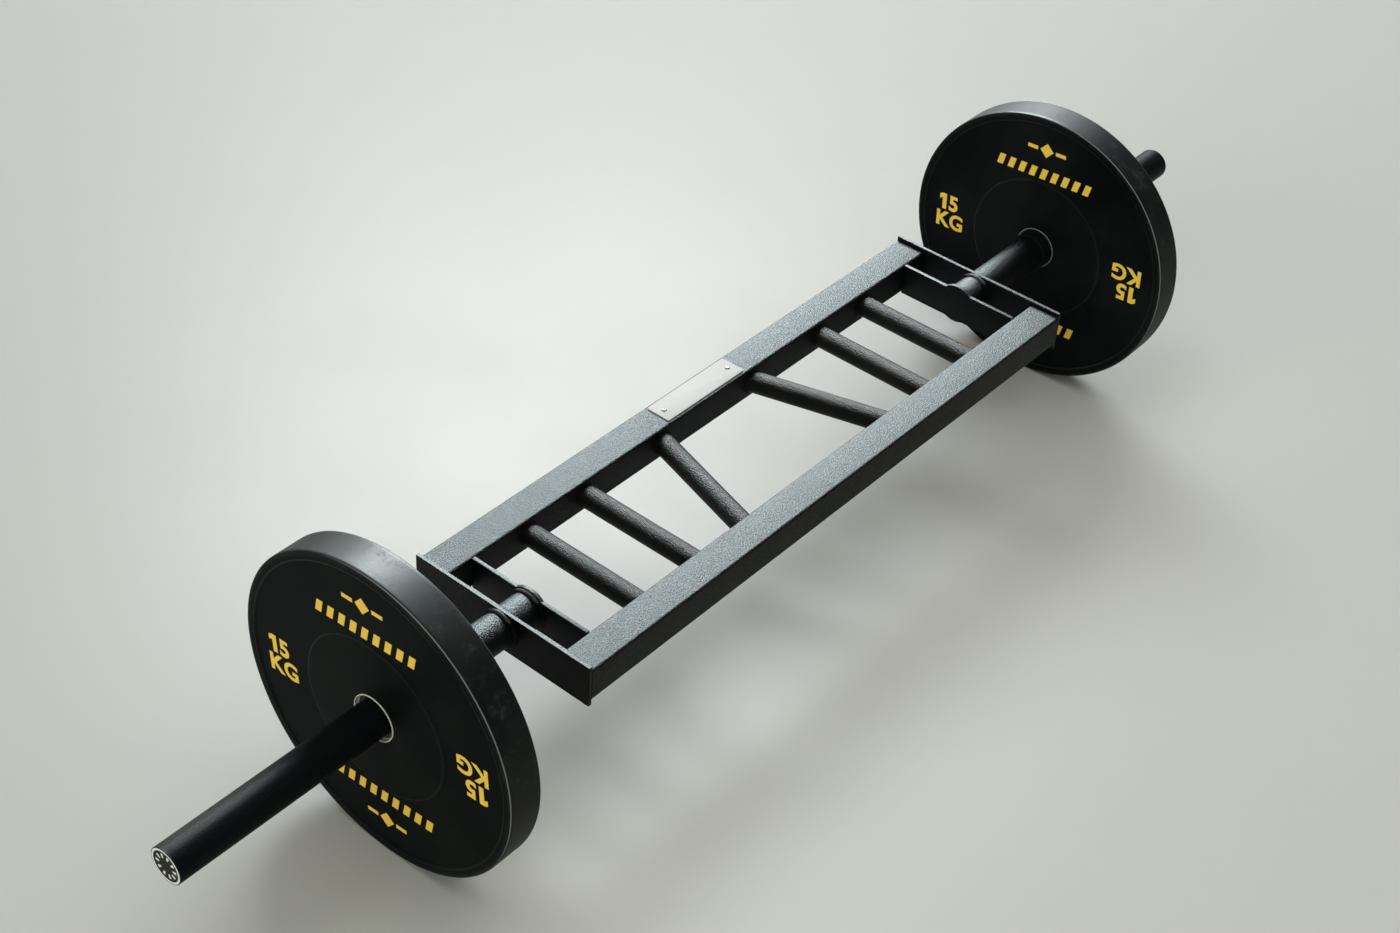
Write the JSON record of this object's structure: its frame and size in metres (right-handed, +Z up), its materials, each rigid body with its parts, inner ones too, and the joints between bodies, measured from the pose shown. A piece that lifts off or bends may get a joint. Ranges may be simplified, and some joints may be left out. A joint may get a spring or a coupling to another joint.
{
  "type": "swiss bar",
  "caption": "Multi-grip swiss bar: a ladder frame of square tube with straight and angled handles, round end sleeves, and a black rubber bumper plate on each sleeve.",
  "frame": {"origin": "on the floor under the middle of the bar, midway between the two plates", "axes": "+X along the bar to its right sleeve, +Y from the front rail to the rear rail with the name plate, +Z up"},
  "size_m": [2.076, 0.4496, 0.4496],
  "materials": {
    "black_coat": "satin black powder coat with a fine texture",
    "black_grip": "textured black powder coat on the handles",
    "black_rubber": "matte moulded rubber, lightly scuffed on the tread",
    "black_cap": "matte black end cap",
    "hub_steel": "turned steel",
    "badge_metal": "satin silver"
  },
  "bodies": {
    "frame": {"front_rail": "black_coat", "rear_rail": "black_coat", "end_plate_left": "black_coat", "cross_plate_left": "black_coat", "handle_outer_left": "black_grip", "handle_inner_left": "black_grip", "handle_angled_left": "black_grip", "sleeve_left": "black_coat", "sleeve_cap_left": "black_cap", "stop_collar_left": "black_coat", "weld_outer_left": "black_coat", "weld_inner_left": "black_coat", "weld_cross_left": "black_coat", "badge_rivet_left": "badge_metal", "end_plate_right": "black_coat", "cross_plate_right": "black_coat", "handle_outer_right": "black_grip", "handle_inner_right": "black_grip", "handle_angled_right": "black_grip", "sleeve_right": "black_coat", "sleeve_cap_right": "black_cap", "stop_collar_right": "black_coat", "weld_outer_right": "black_coat", "weld_inner_right": "black_coat", "weld_cross_right": "black_coat", "badge_rivet_right": "badge_metal", "badge_plate": "badge_metal"},
    "left_hub": {"hub_left": "hub_steel"},
    "left_plate": {"bumper_left": "black_rubber"},
    "right_hub": {"hub_right": "hub_steel"},
    "right_plate": {"bumper_right": "black_rubber"}
  },
  "joints": [
    {"name": "plate_slide_left", "type": "slide", "parent": "frame", "child": "left_hub", "axis": [-1, 0, 0], "range_m": [0, 0.307]},
    {"name": "plate_spin_left", "type": "hinge", "parent": "left_hub", "child": "left_plate", "pos_m": [-0.705, 0, 0.22479], "axis": [1, 0, 0], "continuous": true},
    {"name": "plate_slide_right", "type": "slide", "parent": "frame", "child": "right_hub", "axis": [1, 0, 0], "range_m": [0, 0.307]},
    {"name": "plate_spin_right", "type": "hinge", "parent": "right_hub", "child": "right_plate", "pos_m": [0.705, 0, 0.22479], "axis": [1, 0, 0], "continuous": true}
  ]
}
